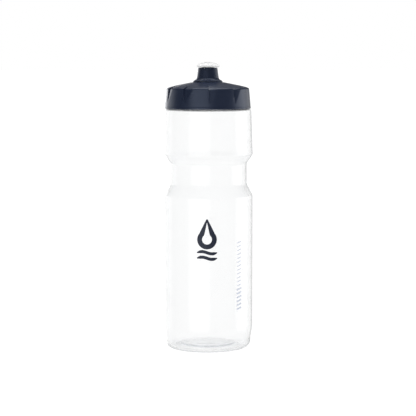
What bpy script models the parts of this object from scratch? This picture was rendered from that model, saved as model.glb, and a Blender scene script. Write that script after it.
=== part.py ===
"""Squeeze bottle for a bicycle cage: blow-moulded bottle, screw cap with a spout tower, and a
push-pull nozzle. Metres, +Z up. The origin is on the bottle's axis, on the plane it stands on.

The nozzle is shown pushed down (closed) and the cap screwed home. The cap unscrews anticlockwise
seen from above, along a right-hand helix of THREAD_PITCH; the nozzle pulls straight up.
"""

import math

import bmesh
import bpy
from mathutils import Matrix, Vector

MM = 0.001

# Driving dimensions
BODY_RADIUS = 37.1 * MM  # fits a 74 mm bottle cage
WALL = 1.25 * MM
GAP = 0.3 * MM  # between pieces that touch in the real bottle
SHOULDER_Z = 198.0 * MM
NECK_TOP_Z = 211.6 * MM
NECK_RADIUS = 31.6 * MM
MOUTH_RADIUS = 29.7 * MM

# Bottle
FOOT_INNER_RADIUS = 26.2 * MM
FOOT_OUTER_RADIUS = 29.6 * MM
PUNT_RADIUS = 23.4 * MM
PUNT_DEPTH = 3.0 * MM
PUNT_WALL = 1.9 * MM
PUNT_ROUND = 0.8 * MM
FLOOR_TOP_Z = 1.6 * MM  # inside face over the foot ring
FLOOR_ROUND = 4.0 * MM
HEEL_RADIUS = 35.1 * MM
HEEL_SWELL = (0.5 * MM, 8.5 * MM)  # the heel's bulge: how far past its radius, and how high
TAPER_TOP_Z = 17.5 * MM
WAIST_RADIUS = 32.1 * MM
WAIST_Z = (126.6 * MM, 136.4 * MM, 153.2 * MM, 160.5 * MM)  # slope starts, flat, flat, slope ends
SHOULDER_RADIUS = 35.9 * MM
SHOULDER_ROUND = 1.2 * MM
SHOULDER_WALL = 1.0 * MM
SLOPE_ROUND = 4.0 * MM
LIP_ROUND = 3.0 * MM
INNER_SHIFT = 0.6 * MM  # height between the waist's corners outside and inside
NECK_ROUND = 0.4 * MM

# Thread, the same helix on the neck and in the cap
THREAD_PITCH = 4.0 * MM
THREAD_HEIGHT = 1.2 * MM
THREAD_BASE_WIDTH = 2.4 * MM
THREAD_CREST_WIDTH = 0.9 * MM
THREAD_Z = 201.6 * MM  # middle of the neck's ridge at angle zero
THREAD_DROP = 1.6 * MM  # how far the cap's ridge lies under the neck's
THREAD_ROOT_SINK = 0.3 * MM
THREAD_END_SINK = 0.1 * MM  # how far the crest has sunk into the wall at its ends
NECK_THREAD_TURNS = (0.0, 1.6)
CAP_THREAD_TURNS = (0.1, 1.5)
THREAD_FADE = 24  # degrees over which a ridge grows from the wall

# Cap
CAP_BOTTOM_Z = SHOULDER_Z + GAP
CAP_BOTTOM_RADIUS = 35.5 * MM
CAP_TOP_RADIUS = 34.2 * MM
CAP_RIM_Z = 215.6 * MM
CAP_RIM_ROUND = 1.5 * MM
CAP_BORE_RADIUS = 33.3 * MM
CAP_CEILING_Z = 213.4 * MM
CAP_CHAMFER = 0.4 * MM
SKIRT_STEP = 0.35 * MM  # how far the skirt stands back over its bottom edge
CONE_FOOT = (29.9 * MM, 216.2 * MM)
CONE_HEAD = (14.2 * MM, 219.45 * MM)
TOWER_FOOT = (9.55 * MM, 220.15 * MM)
TOWER_FLARE = 2.2 * MM  # radius of the flare at the tower's foot
TOWER_TOP_Z = 232.0 * MM
TOWER_TOP_RADIUS = 7.7 * MM
TOWER_BORE_RADIUS = 6.2 * MM
TOWER_LIP_RADIUS = 5.6 * MM
SOCKET_RADIUS = 8.0 * MM
SOCKET_Z = (213.0 * MM, 218.0 * MM)
SOCKET_WALL = 1.6 * MM
CAP_WALL = 2.0 * MM  # height of the cone's wall over its inner corner
SEAL_RIB_RADII = (27.2 * MM, 28.4 * MM)
SEAL_RIB_Z = 210.8 * MM

# Grip notches: a saw-tooth recess that starts at a point low on the skirt and runs over the rim
NOTCH_COUNT = 10
NOTCH_DEPTH = 1.3 * MM
NOTCH_APEX_Z = 202.3 * MM
NOTCH_ANGLE = math.radians(14.0)  # width at the rim
NOTCH_LEAN = math.radians(1.9)  # how far the steep side leans from apex to rim
NOTCH_STEP = math.radians(0.5)  # width of the steep side
NOTCH_FIRST = math.radians(-87.2)  # apex of the notch nearest to the front, -Y
NOTCH_RIM_SHARE = 0.45  # of the depth, left where the rim meets the cone
NOTCH_FADE = (28.0 * MM, 216.6 * MM)  # where the recess has run out on the top
NOTCH_APEX_SHARE = 0.1  # width at the apex, as a share of the rim's
NOTCH_ROWS = (0, 0.35, 0.7, 1)  # rows of the skirt from the apex to the rim

# Nozzle and stopper
NOZZLE_TRAVEL = 6.5 * MM
SLEEVE_RADIUS = TOWER_LIP_RADIUS - GAP
SLEEVE_BORE = 4.1 * MM
SLEEVE_BEAD_RADIUS = TOWER_BORE_RADIUS - GAP
SLEEVE_Z = (218.6 * MM, 234.6 * MM)
BEAD_TOP_Z = 222.5 * MM
TOWER_LIP_Z = BEAD_TOP_Z + NOZZLE_TRAVEL + 2 * GAP  # the lip stops the bead
GROOVE_Z = (219.9 * MM, 221.3 * MM)
GROOVE_RADIUS = 4.75 * MM
SLEEVE_CHAMFER = 0.3 * MM
O_RING_SECTION = 0.42 * MM  # radius of the ring's section
O_RING_SIDES = 8
LIP_RADIUS = 9.9 * MM
LIP_Z = (1.4 * MM, 2.3 * MM)  # widest place and upper edge, over the mouthpiece's foot
LIP_INSET = (0.5 * MM, 0.7 * MM)  # foot and upper edge, inside the widest place
LIP_EDGE_ROUND = 0.5 * MM
LIP_MIDDLE_ROUND = 0.6 * MM
DOME_CORNERS = ((7.1 * MM, 1.0 * MM), (5.6 * MM, 0.5 * MM))  # radius, and depth under the top
MOUTHPIECE_Z = (232.4 * MM, 236.4 * MM)
MOUTH_HOLE_RADIUS = 3.4 * MM
HOLE_ROUND = 0.3 * MM
POST_RADIUS = 2.2 * MM
POST_HEAD_RADIUS = MOUTH_HOLE_RADIUS - GAP
POST_HEAD_Z = 233.4 * MM
POST_TOP_Z = 236.5 * MM
POST_NECK = 0.8 * MM  # height over which the post widens to its head
POST_ROUND = 0.5 * MM
INSERT_BORE = 6.3 * MM
INSERT_LIFT = 0.2 * MM  # of the insert over the socket's foot
SPOKE_COUNT = 3
SPOKE_WIDTH = 1.4 * MM
SPOKE_HEIGHT = 2.6 * MM
SPOKE_FIRST = math.radians(30)

# Gasket
GASKET_WIDTH = 4.1 * MM
GASKET_LIP = 1.0 * MM  # how deep the wiper lip reaches into the mouth
WIPER_GAP = 0.42 * MM

BODY_SEGMENTS = 48
NOZZLE_SEGMENTS = 24
CAP_FREE_COLUMNS = 3  # columns of each grip between two notches
FILLET_STEP = math.radians(25)
SMALL_FILLET = 0.6 * MM  # fillets below this are single chamfers
SMOOTH_ANGLE = math.radians(28)

PLASTICS = {
    # name: (colour, roughness, transmission)
    "translucent_ldpe": ((0.93, 0.95, 0.95, 1.0), 0.30, 0.85),
    "navy_polypropylene": ((0.017, 0.022, 0.039, 1.0), 0.38, 0.0),
    "clear_silicone": ((0.95, 0.96, 0.97, 1.0), 0.25, 0.6),
    "white_polypropylene": ((0.85, 0.86, 0.86, 1.0), 0.35, 0.0),
    "grey_elastomer": ((0.20, 0.22, 0.25, 1.0), 0.60, 0.0),
}


def plastic(name):
    """The named material, made the first time that it is asked for."""
    found = bpy.data.materials.get(name)
    if found:
        return found
    colour, roughness, transmission = PLASTICS[name]
    made = bpy.data.materials.new(name)
    made.use_nodes = True
    shader = made.node_tree.nodes["Principled BSDF"]
    shader.inputs["Base Color"].default_value = colour
    shader.inputs["Roughness"].default_value = roughness
    shader.inputs["Metallic"].default_value = 0.0
    shader.inputs["Transmission Weight"].default_value = transmission
    return made


def finish(name, mesh_builder, material):
    """An object made from a bmesh, facing out and shaded smooth except at sharp edges."""
    bmesh.ops.recalc_face_normals(mesh_builder, faces=mesh_builder.faces)
    mesh = bpy.data.meshes.new(name)
    mesh_builder.to_mesh(mesh)
    mesh_builder.free()
    mesh.shade_smooth()
    mesh.set_sharp_from_angle(angle=SMOOTH_ANGLE)
    mesh.materials.append(plastic(material))
    made = bpy.data.objects.new(name, mesh)
    bpy.context.scene.collection.objects.link(made)
    return made


def rounded(corners, closed):
    """An outline of (radius, height) points from corners (radius, height, fillet radius)."""
    points = []
    count = len(corners)
    for index, (radius, height, fillet) in enumerate(corners):
        corner = Vector((radius, height))
        inside = closed or 0 < index < count - 1
        if not fillet or not inside:
            points.append(corner)
            continue
        before = (Vector(corners[index - 1][:2]) - corner).normalized()
        after = (Vector(corners[(index + 1) % count][:2]) - corner).normalized()
        half = before.angle(after) / 2
        centre = corner + (before + after).normalized() * (fillet / math.sin(half))
        start = corner + before * (fillet / math.tan(half)) - centre
        end = corner + after * (fillet / math.tan(half)) - centre
        sweep = start.angle_signed(end)
        steps = 1 if fillet < SMALL_FILLET else math.ceil(abs(sweep) / FILLET_STEP)
        for step in range(steps + 1):
            turn = Matrix.Rotation(-sweep * step / steps, 2)
            points.append(centre + turn @ start)
    return points


def turned(name, corners, material, segments, closed=True):
    """A solid of revolution. A closed outline makes a ring; an open one starts and ends on Z."""
    builder = bmesh.new()
    outline = [builder.verts.new((p.x, 0, p.y)) for p in rounded(corners, closed)]
    for first, second in zip(outline, outline[1:]):
        builder.edges.new((first, second))
    if closed:
        builder.edges.new((outline[-1], outline[0]))
    bmesh.ops.spin(
        builder,
        geom=builder.verts[:] + builder.edges[:],
        cent=(0, 0, 0),
        axis=(0, 0, 1),
        angle=math.tau,
        steps=segments,
        use_merge=True,
    )
    bmesh.ops.remove_doubles(builder, verts=builder.verts, dist=0.001 * MM)
    return finish(name, builder, material)


def helper(made):
    """Marks a piece that only shapes another."""
    made.hide_render = True
    made.display_type = "WIRE"
    return made


def join(target, other):
    """Unites target with a helper."""
    modifier = target.modifiers.new("join_" + other.name, "BOOLEAN")
    modifier.operation = "UNION"
    modifier.solver = "EXACT"
    modifier.object = helper(other)


def thread_ridge(name, wall_radius, outward, middle_z, first_turn, last_turn):
    """A helical ridge of trapezoid section on a round wall; outward is 1 on a neck, -1 in a bore.
    Its ends sink into the wall."""
    builder = bmesh.new()
    steps = round((last_turn - first_turn) * BODY_SEGMENTS)
    fade_steps = BODY_SEGMENTS * THREAD_FADE / 360
    sections = []
    for step in range(steps + 1):
        turns = first_turn + (last_turn - first_turn) * step / steps
        grown = min(1, step / fade_steps, (steps - step) / fade_steps)
        root = wall_radius - outward * THREAD_ROOT_SINK
        crest = wall_radius + outward * (THREAD_HEIGHT * grown - THREAD_END_SINK * (1 - grown))
        z = middle_z + THREAD_PITCH * turns
        base_half = THREAD_BASE_WIDTH / 2
        crest_half = THREAD_CREST_WIDTH / 2
        ring = Matrix.Rotation(math.tau * turns, 4, "Z")
        corners = (
            (root, z - base_half),
            (crest, z - crest_half),
            (crest, z + crest_half),
            (root, z + base_half),
        )
        sections.append([builder.verts.new(ring @ Vector((r, 0, h))) for r, h in corners])
    for lower, upper in zip(sections, sections[1:]):
        for side in range(4):
            following = (side + 1) % 4
            builder.faces.new((lower[side], lower[following], upper[following], upper[side]))
    builder.faces.new(sections[0])
    builder.faces.new(sections[-1])
    return finish(name, builder, "navy_polypropylene")


def bottle_body():
    """The blow-moulded bottle: foot ring, punt, tapered heel, grip waist, shoulder and neck."""
    slope_start, flat_start, flat_end, slope_end = WAIST_Z
    inner = BODY_RADIUS - WALL
    inner_waist = WAIST_RADIUS - WALL
    corners = [
        (0, PUNT_DEPTH, 0),
        (PUNT_RADIUS, PUNT_DEPTH, PUNT_ROUND),
        (FOOT_INNER_RADIUS, 0, 0),
        (HEEL_RADIUS, 0, HEEL_RADIUS - FOOT_OUTER_RADIUS),
        (HEEL_RADIUS + HEEL_SWELL[0], HEEL_SWELL[1], 0),
        (BODY_RADIUS, TAPER_TOP_Z, 0),
        (BODY_RADIUS, slope_start, SLOPE_ROUND),
        (WAIST_RADIUS, flat_start, SLOPE_ROUND),
        (WAIST_RADIUS, flat_end, LIP_ROUND),
        (BODY_RADIUS, slope_end, LIP_ROUND),
        (SHOULDER_RADIUS, SHOULDER_Z, SHOULDER_ROUND),
        (NECK_RADIUS, SHOULDER_Z, 0),
        (NECK_RADIUS, NECK_TOP_Z, NECK_ROUND),
        (MOUTH_RADIUS, NECK_TOP_Z, NECK_ROUND),
        (MOUTH_RADIUS, SHOULDER_Z - SHOULDER_WALL, 0),
        (SHOULDER_RADIUS - WALL, SHOULDER_Z - SHOULDER_WALL, SHOULDER_ROUND),
        (inner, slope_end + INNER_SHIFT, 0),
        (inner_waist, flat_end + INNER_SHIFT, 0),
        (inner_waist, flat_start - INNER_SHIFT, 0),
        (inner, slope_start - INNER_SHIFT, 0),
        (inner, TAPER_TOP_Z, 0),
        (HEEL_RADIUS - WALL, FLOOR_TOP_Z, FLOOR_ROUND),
        (FOOT_INNER_RADIUS, FLOOR_TOP_Z, 0),
        (PUNT_RADIUS, PUNT_DEPTH + PUNT_WALL, 0),
        (0, PUNT_DEPTH + PUNT_WALL, 0),
    ]
    body = turned("bottle_body", corners, "translucent_ldpe", BODY_SEGMENTS, closed=False)
    join(body, thread_ridge("neck_thread", NECK_RADIUS, 1, THREAD_Z, *NECK_THREAD_TURNS))


def cap_outline():
    """The cap's section, all the way round, as rows of (radius, height, spread, depth): how far a
    notch has spread there, and the share of its depth that it has reached."""
    bottom = CAP_BOTTOM_Z
    apex_radius = CAP_BOTTOM_RADIUS - SKIRT_STEP
    rim_start = CAP_RIM_Z - CAP_RIM_ROUND
    skirt = [
        (CAP_BOTTOM_RADIUS - CAP_CHAMFER, bottom, 0, 0),
        (CAP_BOTTOM_RADIUS, bottom + CAP_CHAMFER, 0, 0),
    ]
    for share in NOTCH_ROWS:
        radius = apex_radius + (CAP_TOP_RADIUS - apex_radius) * share
        skirt.append((radius, NOTCH_APEX_Z + (rim_start - NOTCH_APEX_Z) * share, share, share))
    rim = []
    for step in (1, 2, 3):
        angle = math.radians(30 * step)
        radius = CAP_TOP_RADIUS - CAP_RIM_ROUND * (1 - math.cos(angle))
        rim.append((radius, rim_start + CAP_RIM_ROUND * math.sin(angle), 1, 1))
    top = [(*CONE_FOOT, 1, NOTCH_RIM_SHARE), (*NOTCH_FADE, 1, 0)]
    tower = rounded(
        [
            (*CONE_FOOT, 0),
            (*CONE_HEAD, 0),
            (*TOWER_FOOT, TOWER_FLARE),
            (TOWER_TOP_RADIUS, TOWER_TOP_Z, CAP_CHAMFER),
            (TOWER_LIP_RADIUS, TOWER_TOP_Z, 0),
            (TOWER_LIP_RADIUS, TOWER_LIP_Z, 0),
            (TOWER_BORE_RADIUS, TOWER_LIP_Z - CAP_CHAMFER, 0),
            (TOWER_BORE_RADIUS, SOCKET_Z[1], 0),
            (SOCKET_RADIUS, SOCKET_Z[1], 0),
            (SOCKET_RADIUS, SOCKET_Z[0], 0),
            (SOCKET_RADIUS + SOCKET_WALL, SOCKET_Z[0], 0),
            (SOCKET_RADIUS + SOCKET_WALL, CONE_HEAD[1] - CAP_WALL, 0),
            (CONE_HEAD[0], CONE_HEAD[1] - CAP_WALL, 0),
            (SEAL_RIB_RADII[0], CONE_FOOT[1] + CAP_CHAMFER - CAP_WALL, 0),
            (SEAL_RIB_RADII[0], SEAL_RIB_Z, 0),
            (SEAL_RIB_RADII[1], SEAL_RIB_Z, 0),
            (SEAL_RIB_RADII[1], CAP_CEILING_Z, 0),
            (CAP_BORE_RADIUS, CAP_CEILING_Z, 0),
            (CAP_BORE_RADIUS, bottom + CAP_CHAMFER, 0),
            (CAP_BORE_RADIUS + CAP_CHAMFER, bottom, 0),
        ],
        closed=False,
    )
    return skirt + rim + top + [(p.x, p.y, 1, 0) for p in tower[1:]]


def cap_columns(spread):
    """One sector's columns, from a notch's steep side round to the next notch, as (angle from
    the notch's apex, share of the row's depth)."""
    sector = math.tau / NOTCH_COUNT
    width = NOTCH_ANGLE * (NOTCH_APEX_SHARE + (1 - NOTCH_APEX_SHARE) * spread)
    lean = NOTCH_LEAN * spread
    columns = [(-lean, 0), (NOTCH_STEP - lean, 1), (width / 2 - lean, 0.5), (width - lean, 0)]
    free = sector - width
    for step in range(1, CAP_FREE_COLUMNS + 1):
        columns.append((width - lean + free * step / (CAP_FREE_COLUMNS + 1), 0))
    return columns


def cap_shell():
    """The screw cap: one grid of rows round the section, sunk along its normal at each notch."""
    outline = cap_outline()
    count = len(outline)
    builder = bmesh.new()
    grid = []
    for index, (radius, height, spread, row_depth) in enumerate(outline):
        before, after = outline[index - 1], outline[(index + 1) % count]
        along = Vector((after[0] - before[0], after[1] - before[1])).normalized()
        inward = Vector((-along.y, along.x))
        row = []
        for notch in range(NOTCH_COUNT):
            for angle, depth_share in cap_columns(spread):
                depth = NOTCH_DEPTH * row_depth * depth_share
                point = Vector((radius, height)) + inward * depth
                turn = NOTCH_FIRST + math.tau * notch / NOTCH_COUNT + angle
                position = (point.x * math.cos(turn), point.x * math.sin(turn), point.y)
                row.append(builder.verts.new(position))
        grid.append(row)
    columns = len(grid[0])
    for index, row in enumerate(grid):
        upper = grid[(index + 1) % count]
        for column in range(columns):
            beside = (column + 1) % columns
            builder.faces.new((row[column], row[beside], upper[beside], upper[column]))
    cap = finish("cap_shell", builder, "navy_polypropylene")
    ridge_z = THREAD_Z - THREAD_DROP
    join(cap, thread_ridge("cap_thread", CAP_BORE_RADIUS, -1, ridge_z, *CAP_THREAD_TURNS))


def cap_gasket():
    """The sealing ring that the cap presses on the neck's rim, with a wiper lip inside the mouth."""
    inner = CAP_BORE_RADIUS - GAP - GASKET_WIDTH
    outer = CAP_BORE_RADIUS - GAP
    bottom = NECK_TOP_Z + GAP
    top = CAP_CEILING_Z - GAP
    lip_radius = MOUTH_RADIUS - WIPER_GAP
    corners = [
        (inner, bottom - GASKET_LIP, 0),
        (lip_radius, bottom - GASKET_LIP, 0),
        (lip_radius, bottom, 0),
        (outer, bottom, 0),
        (outer, top, 0),
        (inner, top, 0),
    ]
    turned("cap_gasket", corners, "grey_elastomer", BODY_SEGMENTS)


def stopper_post():
    """The insert clipped in under the tower: a ring, three spokes, and the post that plugs the
    nozzle's hole when the nozzle is down."""
    bottom = SOCKET_Z[0] + INSERT_LIFT
    ring_radius = SOCKET_RADIUS - GAP
    ring = [
        (INSERT_BORE, bottom, 0),
        (ring_radius, bottom, 0),
        (ring_radius, SOCKET_Z[1] - GAP, 0),
        (INSERT_BORE, SOCKET_Z[1] - GAP, 0),
    ]
    post = [
        (0, bottom, 0),
        (POST_RADIUS, bottom, 0),
        (POST_RADIUS, POST_HEAD_Z - POST_NECK, 0),
        (POST_HEAD_RADIUS, POST_HEAD_Z, 0),
        (POST_HEAD_RADIUS, POST_TOP_Z, POST_ROUND),
        (0, POST_TOP_Z, 0),
    ]
    insert = turned("stopper_post", post, "navy_polypropylene", NOZZLE_SEGMENTS, closed=False)
    join(insert, turned("stopper_ring", ring, "navy_polypropylene", NOZZLE_SEGMENTS))
    spoke_length = (INSERT_BORE + ring_radius) / 2
    for spoke in range(SPOKE_COUNT):
        builder = bmesh.new()
        bmesh.ops.create_cube(builder, size=1)
        size = Matrix.Diagonal((spoke_length, SPOKE_WIDTH, SPOKE_HEIGHT, 1))
        place = Matrix.Translation((spoke_length / 2, 0, bottom + INSERT_LIFT + SPOKE_HEIGHT / 2))
        turn = Matrix.Rotation(math.tau * spoke / SPOKE_COUNT + SPOKE_FIRST, 4, "Z")
        bmesh.ops.transform(builder, matrix=turn @ place @ size, verts=builder.verts)
        join(insert, finish(f"stopper_spoke_{spoke + 1}", builder, "navy_polypropylene"))


def nozzle_sleeve():
    """The rigid tube that slides in the tower, with a stop bead and a seal groove at its foot."""
    bottom, top = SLEEVE_Z
    corners = [
        (SLEEVE_BORE, bottom, 0),
        (SLEEVE_BEAD_RADIUS - SLEEVE_CHAMFER, bottom, 0),
        (SLEEVE_BEAD_RADIUS, bottom + SLEEVE_CHAMFER, 0),
        (SLEEVE_BEAD_RADIUS, GROOVE_Z[0], 0),
        (GROOVE_RADIUS, GROOVE_Z[0], 0),
        (GROOVE_RADIUS, GROOVE_Z[1], 0),
        (SLEEVE_BEAD_RADIUS, GROOVE_Z[1], 0),
        (SLEEVE_BEAD_RADIUS, BEAD_TOP_Z, 0),
        (SLEEVE_RADIUS, BEAD_TOP_Z + SLEEVE_CHAMFER, 0),
        (SLEEVE_RADIUS, top, 0),
        (SLEEVE_BORE, top, 0),
    ]
    turned("nozzle_sleeve", corners, "white_polypropylene", NOZZLE_SEGMENTS)


def nozzle_o_ring():
    """The seal in the sleeve's groove."""
    middle_radius = (GROOVE_RADIUS + TOWER_BORE_RADIUS) / 2
    middle_z = sum(GROOVE_Z) / 2
    corners = []
    for step in range(O_RING_SIDES):
        angle = math.tau * step / O_RING_SIDES
        radius = middle_radius + O_RING_SECTION * math.cos(angle)
        corners.append((radius, middle_z + O_RING_SECTION * math.sin(angle), 0))
    turned("nozzle_o_ring", corners, "grey_elastomer", NOZZLE_SEGMENTS)


def mouthpiece():
    """The soft tip on the sleeve: a bite lip, a low dome and the drinking hole."""
    bottom, top = MOUTHPIECE_Z
    seat_radius = SLEEVE_RADIUS + GAP
    seat_z = SLEEVE_Z[1] + GAP
    corners = [
        (seat_radius, bottom, 0),
        (LIP_RADIUS - LIP_INSET[0], bottom, LIP_EDGE_ROUND),
        (LIP_RADIUS, bottom + LIP_Z[0], LIP_MIDDLE_ROUND),
        (LIP_RADIUS - LIP_INSET[1], bottom + LIP_Z[1], LIP_EDGE_ROUND),
        *((radius, top - depth, 0) for radius, depth in DOME_CORNERS),
        (MOUTH_HOLE_RADIUS, top, HOLE_ROUND),
        (MOUTH_HOLE_RADIUS, seat_z, 0),
        (seat_radius, seat_z, 0),
    ]
    turned("mouthpiece", corners, "clear_silicone", NOZZLE_SEGMENTS)


def main():
    for old in list(bpy.data.objects):
        bpy.data.objects.remove(old)
    bottle_body()
    cap_gasket()
    cap_shell()
    stopper_post()
    nozzle_sleeve()
    nozzle_o_ring()
    mouthpiece()


main()
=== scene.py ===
"""Looks of the bicycle bottle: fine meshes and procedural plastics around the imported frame."""

import math

import bmesh
import bpy
from mathutils import Matrix, Vector

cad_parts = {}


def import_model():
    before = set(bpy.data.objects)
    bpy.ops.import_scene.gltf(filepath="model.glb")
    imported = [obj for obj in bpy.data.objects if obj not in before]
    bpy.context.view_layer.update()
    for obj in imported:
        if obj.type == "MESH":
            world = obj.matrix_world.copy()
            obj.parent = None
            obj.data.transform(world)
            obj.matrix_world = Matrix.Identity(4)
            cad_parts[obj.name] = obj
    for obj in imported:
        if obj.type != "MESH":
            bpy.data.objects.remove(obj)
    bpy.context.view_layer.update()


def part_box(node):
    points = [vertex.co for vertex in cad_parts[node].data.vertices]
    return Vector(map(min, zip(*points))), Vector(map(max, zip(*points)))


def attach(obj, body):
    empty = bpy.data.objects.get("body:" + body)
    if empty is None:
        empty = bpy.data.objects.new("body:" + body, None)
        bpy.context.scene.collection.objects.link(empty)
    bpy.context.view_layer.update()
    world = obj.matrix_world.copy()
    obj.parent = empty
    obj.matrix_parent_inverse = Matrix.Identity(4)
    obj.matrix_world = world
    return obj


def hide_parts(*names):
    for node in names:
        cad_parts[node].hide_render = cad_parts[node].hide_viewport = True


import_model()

MM = 0.001

# Places taken from the frame
BODY_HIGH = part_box("bottle_body")[1]
CAP_LOW, CAP_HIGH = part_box("cap_shell")
TIP_LOW, TIP_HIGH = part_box("mouthpiece")
SLEEVE_LOW, SLEEVE_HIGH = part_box("nozzle_sleeve")
POST_LOW, POST_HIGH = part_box("stopper_post")
GASKET_LOW, GASKET_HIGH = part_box("cap_gasket")
RING_LOW, RING_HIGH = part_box("nozzle_o_ring")

BODY_RADIUS = BODY_HIGH.x
NECK_TOP_Z = BODY_HIGH.z
CAP_BOTTOM_Z = CAP_LOW.z
TOWER_TOP_Z = CAP_HIGH.z
GAP = 0.3 * MM
WALL = 1.25 * MM

# Bottle
SHOULDER_Z = CAP_BOTTOM_Z - GAP
SHOULDER_RADIUS = 35.9 * MM
SHOULDER_ROUND = 1.8 * MM
SHOULDER_WALL = 0.5 * MM  # height of the wall on the shoulder
SHOULDER_INSET = 0.6 * MM  # of the inner corner from the outer one, across
WAIST_RADIUS = 32.1 * MM
SLOPE_START_Z = 126.6 * MM
WAIST_LOW_Z = 136.4 * MM
WAIST_HIGH_Z = 153.2 * MM
SLOPE_END_Z = 160.5 * MM
INNER_DROP = 0.3 * MM  # of the waist's lower inner corners under the outer ones
INNER_RISE = 0.4 * MM  # of the waist's upper inner corners over the outer ones
HEEL_TOP_Z = 17.5 * MM
HEEL_RADIUS = 35.1 * MM
HEEL_SWELL = 0.5 * MM  # how far the heel bulges past its radius
HEEL_SWELL_Z = 8.5 * MM
FOOT_OUTER = 29.6 * MM
FOOT_INNER = 26.2 * MM
FOOT_ROUND = 2.2 * MM
FOOT_WALL = 1.4 * MM
PUNT_RADIUS = 23.4 * MM
PUNT_DEPTH = 3.0 * MM
PUNT_ROUND = 2.6 * MM
PUNT_BAND = 6 * MM  # from the punt's corner to where its crown begins
PUNT_CROWN_ROUND = 12 * MM
INNER_OFFSET = 0.6 * MM  # of the foot's inner corners from the outer ones
NECK_RADIUS = 31.6 * MM
NECK_ROUND = 0.4 * MM
MOUTH_RADIUS = 29.7 * MM
SEAM_PROUD = 0.08 * MM
SEAM_HALF_ANGLE = math.radians(0.8)
SEAM_COLUMNS = (-1, -0.66, -0.33, 0.33, 0.66, 1)  # shares of the half angle
LONGEST_EDGE = 4 * MM  # along the bottle's outline

# Thread
PITCH = 4.0 * MM
THREAD_HEIGHT = 1.2 * MM
THREAD_BASE = 2.4 * MM
THREAD_CREST = 0.9 * MM
THREAD_Z = 201.6 * MM
THREAD_DROP = 1.6 * MM
THREAD_FADE = 24  # degrees over which a ridge grows from the wall
THREAD_ROOT_SINK = 0.3 * MM
THREAD_END_SINK = 0.1 * MM  # how far the crest has sunk into the wall at its ends
THREAD_EDGE = 0.15 * MM  # height of the bevel under the crest
THREAD_BEVEL = (0.05 * MM, 0.1 * MM)  # outside and inside the crest's width
NECK_THREAD_TURNS = (0.0, 1.6)
CAP_THREAD_TURNS = (0.1, 1.5)

# Cap
CAP_BOTTOM_RADIUS = 35.5 * MM
CAP_TOP_RADIUS = 34.2 * MM
CAP_LIP_WIDTH = 1.2 * MM
CAP_LIP_Z = (1.5 * MM, 2.0 * MM)  # over the cap's bottom: where the lip ends, where the skirt begins
SKIRT_STEP = (0.15 * MM, 0.25 * MM)  # how far the skirt stands back: over the lip, at the notches' foot
CAP_RIM_Z = 215.6 * MM
CAP_RIM_ROUND = 1.5 * MM
CAP_BORE = 33.3 * MM
CAP_BORE_FLARE = (0.4 * MM, 0.5 * MM)  # across and up, at the bore's mouth
CAP_CEILING_Z = 213.4 * MM
CONE_FOOT = (31.0 * MM, 216.3 * MM)
CONE_MIDDLE = (26.5 * MM, 217.4 * MM)
CONE_HEAD = (14.0 * MM, 219.9 * MM)
UNDERCUT = ((12.0 * MM, 220.15 * MM), (12.35 * MM, 220.95 * MM))  # ring round the tower's foot
TOWER_FOOT = (9.25 * MM, 222.7 * MM)
TOWER_FLARE = 2.2 * MM
TOWER_TOP_RADIUS = 7.9 * MM
SOCKET_WALL = 1.6 * MM
SOCKET_LOW_Z = 213.0 * MM
CONE_UNDERSIDE_Z = 217.45 * MM
CONE_UNDERSIDE = (14.2 * MM, 27.2 * MM)  # radii at its head and foot
CONE_UNDERSIDE_FOOT_Z = 214.0 * MM
SEAL_RIB_RADIUS = 28.4 * MM
SEAL_RIB_Z = 210.8 * MM
CONE_STEP = 0.5 * MM  # between rows over the notches' upper end
NOTCH_COUNT = 10
NOTCH_DEPTH = 1.3 * MM
NOTCH_APEX_Z = 202.3 * MM
NOTCH_ANGLE = math.radians(14.0)
NOTCH_LEAN = math.radians(1.9)
NOTCH_STEP = math.radians(0.45)
NOTCH_FIRST = math.radians(-87.2)
NOTCH_NARROWEST = 0.06  # share of its width that a notch's columns keep
SKIRT_ROWS = 24
RIM_ROWS = 10
RIM_ROW_ANGLE = 8  # degrees
STEP_COLUMNS = 5
SLOPE_COLUMNS = 12
GRIP_COLUMNS = 16
CAP_SHARP = math.radians(24)

# Nozzle, gasket and stopper
TOWER_LIP = 5.6 * MM
TOWER_LIP_Z = 229.6 * MM
TOWER_BORE = 6.2 * MM
TOWER_BORE_TOP_Z = 229.2 * MM
SOCKET_RADIUS = 8.0 * MM
SOCKET_TOP_Z = 218.0 * MM
HOLE_RADIUS = 3.4 * MM
GASKET_BORE = 28.9 * MM
GASKET_LIP = 1.0 * MM  # how deep the wiper lip reaches into the mouth
WIPER_GAP = 0.42 * MM
POST_RADIUS = 2.2 * MM
POST_NECK_Z = 232.6 * MM
POST_HEAD_Z = 233.4 * MM
INSERT_SLACK = 0.1 * MM  # of the insert's bore round the tower's
SPOKE_COUNT = 3
SPOKE_WIDTH = 1.4 * MM
SPOKE_HEIGHT = 2.6 * MM
SPOKE_MIDDLE = 1.5 * MM  # over the insert's foot
SPOKE_FIRST = math.radians(30)
SLEEVE_BORE = 4.1 * MM
SLEEVE_CHAMFER = 0.3 * MM
GROOVE_RADIUS = 4.75 * MM
GROOVE_Z = (219.9 * MM, 221.3 * MM)
BEAD_TOP_Z = 222.5 * MM
O_RING_SIDES = 20
TIP_LIP_Z = (1.4 * MM, 2.3 * MM)  # widest place and upper edge, over the tip's foot
TIP_LIP_INSET = (0.6 * MM, 0.7 * MM)  # foot and upper edge, inside the widest place
TIP_WAIST = (2.6 * MM, 1.05 * MM)  # where the dome begins: inside the lip, under the top
DOME_EDGE = (5.4 * MM, 0.35 * MM)  # radius, and depth under the top
RIM_FOOT = (4.4 * MM, 0.2 * MM)  # of the thickened rim round the hole
RIM_TOP_RADIUS = 4.2 * MM

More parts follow.
